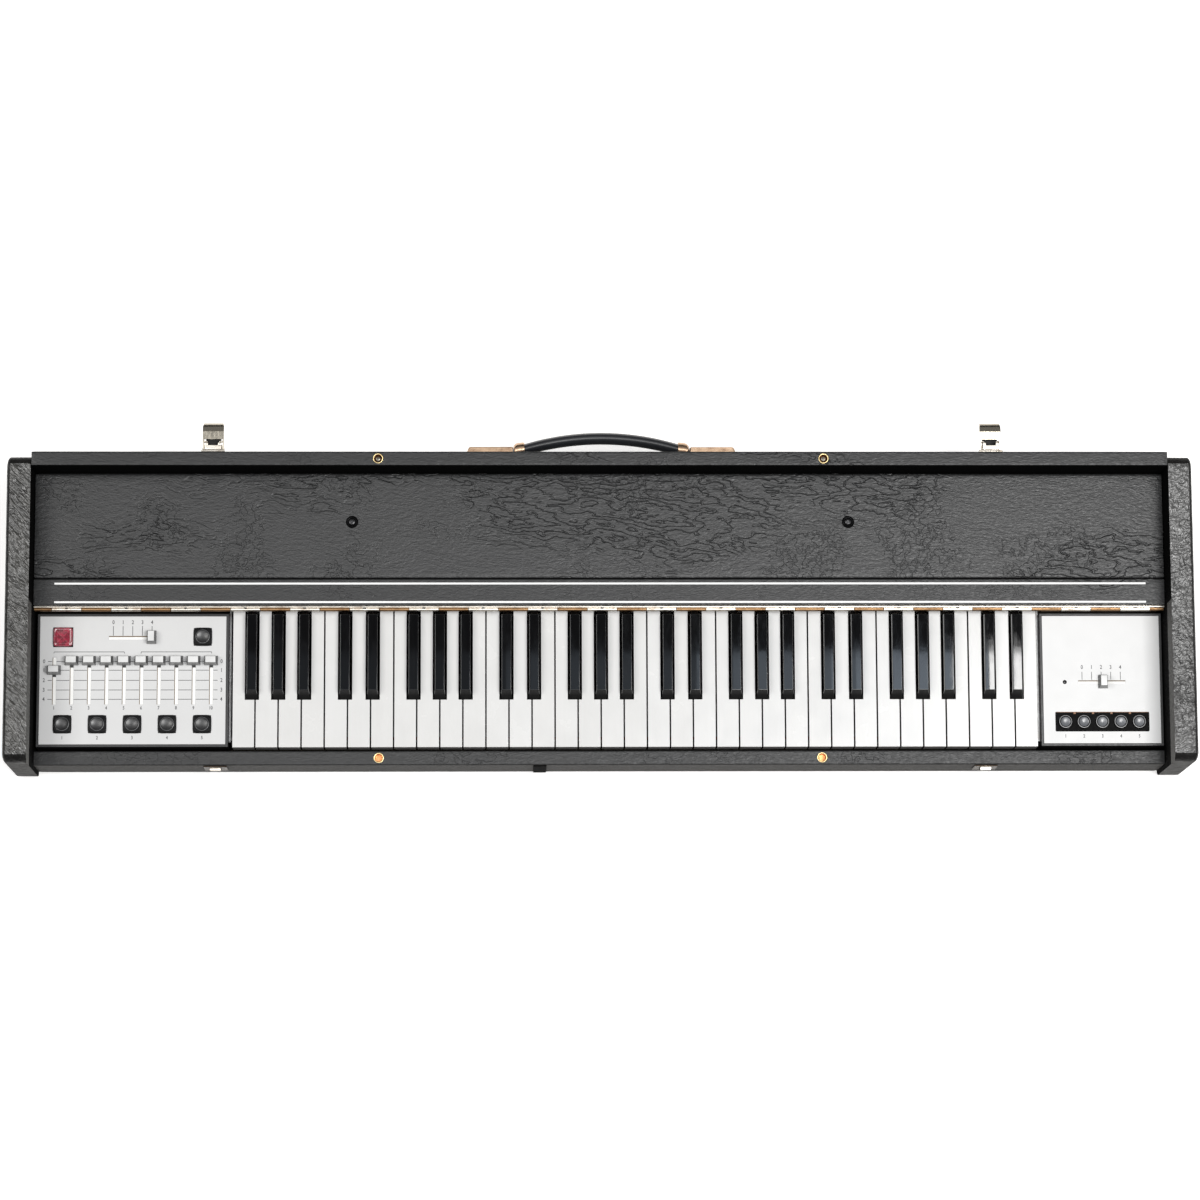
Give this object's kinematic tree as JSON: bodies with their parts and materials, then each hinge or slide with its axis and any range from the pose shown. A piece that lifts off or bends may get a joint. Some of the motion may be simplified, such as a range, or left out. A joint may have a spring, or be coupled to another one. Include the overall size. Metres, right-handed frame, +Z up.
{
  "type": "string synthesizer",
  "caption": "Flat portable string synthesizer with its lid off: keyboard between two control panels, hinged service cover, vinyl-wrapped case, draw latches and a rear carrying handle.",
  "frame": {"origin": "middle of the base, on the floor under the centre of the whole box", "axes": "+X to the player's right along the keyboard, +Y from the player to the back, +Z up"},
  "size_m": [1.2036, 0.3494, 0.13],
  "materials": {
    "case_vinyl": "wrinkled black leatherette, satin",
    "bottom_vinyl": "black leatherette, dull",
    "strip_black": "black, satin, two fine light lines",
    "nickel": "nickel plate, brushed and worn",
    "brass": "brass, lightly tarnished",
    "pin_steel": "drawn steel",
    "rail_black": "black painted wood",
    "plate_grey": "light grey satin sheet",
    "plate_white": "near white satin sheet",
    "frame_black": "black moulded frame",
    "board_green": "printed circuit board",
    "frame_steel": "plated steel",
    "iron": "varnished laminations",
    "socket_black": "black moulded panel",
    "ivory": "white key plastic, polished",
    "ebony": "black key plastic, polished",
    "knob_grey": "silver-grey moulded knob",
    "button_black": "black dished button",
    "button_red": "translucent red lens",
    "grip_black": "black satin grip with brass ferrules"
  },
  "bodies": {
    "case": {"bottom_board": "bottom_vinyl", "left_cheek": "case_vinyl", "right_cheek": "case_vinyl", "front_rail": "case_vinyl", "back_board": "case_vinyl", "hinge_fixed_leaf": "brass", "hinge_pin": "pin_steel", "hinge_rail": "rail_black", "left_latch_plate": "nickel", "right_latch_plate": "nickel", "left_catch": "nickel", "right_catch": "nickel", "left_handle_bracket": "brass", "right_handle_bracket": "brass", "left_panel": "plate_grey", "right_panel": "plate_white", "left_panel_frame": "frame_black", "right_panel_frame": "frame_black", "left_panel_board": "board_green", "right_panel_board": "board_green", "key_frame": "frame_steel", "main_board": "board_green", "mains_transformer": "iron", "socket_panel": "socket_black"},
    "cover": {"top_cover": "case_vinyl", "name_strip": "strip_black", "hinge_cover_leaf": "nickel"},
    "handle": {"handle_grip": "grip_black"},
    "lower_naturals": {"lower_naturals": "ivory"},
    "upper_naturals": {"upper_naturals": "ivory"},
    "lower_sharps": {"lower_sharps": "ebony"},
    "upper_sharps": {"upper_sharps": "ebony"},
    "left_lever": {"left_latch_lever": "nickel"},
    "left_loop": {"left_latch_loop": "nickel"},
    "right_lever": {"right_latch_lever": "nickel"},
    "right_loop": {"right_latch_loop": "nickel"},
    "voice_slider_1": {"voice_slider_1": "knob_grey"},
    "voice_slider_2": {"voice_slider_2": "knob_grey"},
    "voice_slider_3": {"voice_slider_3": "knob_grey"},
    "voice_slider_4": {"voice_slider_4": "knob_grey"},
    "voice_slider_5": {"voice_slider_5": "knob_grey"},
    "voice_slider_6": {"voice_slider_6": "knob_grey"},
    "voice_slider_7": {"voice_slider_7": "knob_grey"},
    "voice_slider_8": {"voice_slider_8": "knob_grey"},
    "voice_slider_9": {"voice_slider_9": "knob_grey"},
    "voice_slider_10": {"voice_slider_10": "knob_grey"},
    "sustain_slider": {"sustain_slider": "knob_grey"},
    "volume_slider": {"volume_slider": "knob_grey"},
    "voice_button_1": {"voice_button_1": "button_black"},
    "voice_button_2": {"voice_button_2": "button_black"},
    "voice_button_3": {"voice_button_3": "button_black"},
    "voice_button_4": {"voice_button_4": "button_black"},
    "voice_button_5": {"voice_button_5": "button_black"},
    "bass_button": {"bass_button": "button_black"},
    "power_button": {"power_button": "button_red"},
    "solo_button_1": {"solo_button_1": "button_black"},
    "solo_button_2": {"solo_button_2": "button_black"},
    "solo_button_3": {"solo_button_3": "button_black"},
    "solo_button_4": {"solo_button_4": "button_black"},
    "solo_button_5": {"solo_button_5": "button_black"}
  },
  "joints": [
    {"name": "cover_hinge", "type": "hinge", "parent": "case", "child": "cover", "pos_m": [0, -0.0117, 0.0776], "axis": [1, 0, 0], "range_deg": [0, 95]},
    {"name": "handle_swing", "type": "hinge", "parent": "case", "child": "handle", "pos_m": [0.0015, 0.1519, 0.07], "axis": [1, 0, 0], "range_deg": [-75, 75]},
    {"name": "lower_naturals_dip", "type": "hinge", "parent": "case", "child": "lower_naturals", "pos_m": [0, 0.0303, 0.0525], "axis": [1, 0, 0], "range_deg": [0, 3.2], "stiffness_Nm_per_rad": 8, "springref_deg": -10.89},
    {"name": "upper_naturals_dip", "type": "hinge", "parent": "case", "child": "upper_naturals", "pos_m": [0, 0.0303, 0.0525], "axis": [1, 0, 0], "range_deg": [0, 3.2], "stiffness_Nm_per_rad": 12, "springref_deg": -10.89},
    {"name": "lower_sharps_dip", "type": "hinge", "parent": "case", "child": "lower_sharps", "pos_m": [0, 0.0303, 0.0525], "axis": [1, 0, 0], "range_deg": [0, 3.2], "stiffness_Nm_per_rad": 5, "springref_deg": -10.89},
    {"name": "upper_sharps_dip", "type": "hinge", "parent": "case", "child": "upper_sharps", "pos_m": [0, 0.0303, 0.0525], "axis": [1, 0, 0], "range_deg": [0, 3.2], "stiffness_Nm_per_rad": 7.5, "springref_deg": -10.89},
    {"name": "left_latch_swing", "type": "hinge", "parent": "case", "child": "left_lever", "pos_m": [-0.3934, 0.1473, 0.117], "axis": [1, 0, 0], "range_deg": [-80, 0]},
    {"name": "left_loop_swing", "type": "hinge", "parent": "left_lever", "child": "left_loop", "pos_m": [-0.3934, 0.1543, 0.118], "axis": [1, 0, 0], "range_deg": [-40, 0]},
    {"name": "right_latch_swing", "type": "hinge", "parent": "case", "child": "right_lever", "pos_m": [0.397, 0.1473, 0.117], "axis": [1, 0, 0], "range_deg": [-80, 0]},
    {"name": "right_loop_swing", "type": "hinge", "parent": "right_lever", "child": "right_loop", "pos_m": [0.397, 0.1543, 0.118], "axis": [1, 0, 0], "range_deg": [-40, 0]},
    {"name": "voice_slider_1_slide", "type": "slide", "parent": "case", "child": "voice_slider_1", "axis": [0, -1, 0], "range_m": [-0.00972, 0.02916]},
    {"name": "voice_slider_2_slide", "type": "slide", "parent": "case", "child": "voice_slider_2", "axis": [0, -1, 0], "range_m": [0, 0.03888]},
    {"name": "voice_slider_3_slide", "type": "slide", "parent": "case", "child": "voice_slider_3", "axis": [0, -1, 0], "range_m": [0, 0.03888]},
    {"name": "voice_slider_4_slide", "type": "slide", "parent": "case", "child": "voice_slider_4", "axis": [0, -1, 0], "range_m": [0, 0.03888]},
    {"name": "voice_slider_5_slide", "type": "slide", "parent": "case", "child": "voice_slider_5", "axis": [0, -1, 0], "range_m": [0, 0.03888]},
    {"name": "voice_slider_6_slide", "type": "slide", "parent": "case", "child": "voice_slider_6", "axis": [0, -1, 0], "range_m": [0, 0.03888]},
    {"name": "voice_slider_7_slide", "type": "slide", "parent": "case", "child": "voice_slider_7", "axis": [0, -1, 0], "range_m": [0, 0.03888]},
    {"name": "voice_slider_8_slide", "type": "slide", "parent": "case", "child": "voice_slider_8", "axis": [0, -1, 0], "range_m": [0, 0.03888]},
    {"name": "voice_slider_9_slide", "type": "slide", "parent": "case", "child": "voice_slider_9", "axis": [0, -1, 0], "range_m": [0, 0.03888]},
    {"name": "voice_slider_10_slide", "type": "slide", "parent": "case", "child": "voice_slider_10", "axis": [0, -1, 0], "range_m": [0, 0.03888]},
    {"name": "sustain_slide", "type": "slide", "parent": "case", "child": "sustain_slider", "axis": [-1, 0, 0], "range_m": [0, 0.0393]},
    {"name": "volume_slide", "type": "slide", "parent": "case", "child": "volume_slider", "axis": [1, 0, 0], "range_m": [-0.0215, 0.0179]},
    {"name": "voice_button_1_press", "type": "slide", "parent": "case", "child": "voice_button_1", "axis": [0, 0, -1], "range_m": [0, 0.003], "stiffness_N_per_m": 150, "springref_m": -0.004},
    {"name": "voice_button_2_press", "type": "slide", "parent": "case", "child": "voice_button_2", "axis": [0, 0, -1], "range_m": [0, 0.003], "stiffness_N_per_m": 150, "springref_m": -0.004},
    {"name": "voice_button_3_press", "type": "slide", "parent": "case", "child": "voice_button_3", "axis": [0, 0, -1], "range_m": [0, 0.003], "stiffness_N_per_m": 150, "springref_m": -0.004},
    {"name": "voice_button_4_press", "type": "slide", "parent": "case", "child": "voice_button_4", "axis": [0, 0, -1], "range_m": [0, 0.003], "stiffness_N_per_m": 150, "springref_m": -0.004},
    {"name": "voice_button_5_press", "type": "slide", "parent": "case", "child": "voice_button_5", "axis": [0, 0, -1], "range_m": [0, 0.003], "stiffness_N_per_m": 150, "springref_m": -0.004},
    {"name": "bass_button_press", "type": "slide", "parent": "case", "child": "bass_button", "axis": [0, 0, -1], "range_m": [0, 0.003], "stiffness_N_per_m": 150, "springref_m": -0.004},
    {"name": "power_button_press", "type": "slide", "parent": "case", "child": "power_button", "axis": [0, 0, -1], "range_m": [0, 0.003], "stiffness_N_per_m": 150, "springref_m": -0.004},
    {"name": "solo_button_1_press", "type": "slide", "parent": "case", "child": "solo_button_1", "axis": [0, 0, -1], "range_m": [0, 0.003], "stiffness_N_per_m": 150, "springref_m": -0.004},
    {"name": "solo_button_2_press", "type": "slide", "parent": "case", "child": "solo_button_2", "axis": [0, 0, -1], "range_m": [0, 0.003], "stiffness_N_per_m": 150, "springref_m": -0.004},
    {"name": "solo_button_3_press", "type": "slide", "parent": "case", "child": "solo_button_3", "axis": [0, 0, -1], "range_m": [0, 0.003], "stiffness_N_per_m": 150, "springref_m": -0.004},
    {"name": "solo_button_4_press", "type": "slide", "parent": "case", "child": "solo_button_4", "axis": [0, 0, -1], "range_m": [0, 0.003], "stiffness_N_per_m": 150, "springref_m": -0.004},
    {"name": "solo_button_5_press", "type": "slide", "parent": "case", "child": "solo_button_5", "axis": [0, 0, -1], "range_m": [0, 0.003], "stiffness_N_per_m": 150, "springref_m": -0.004}
  ]
}
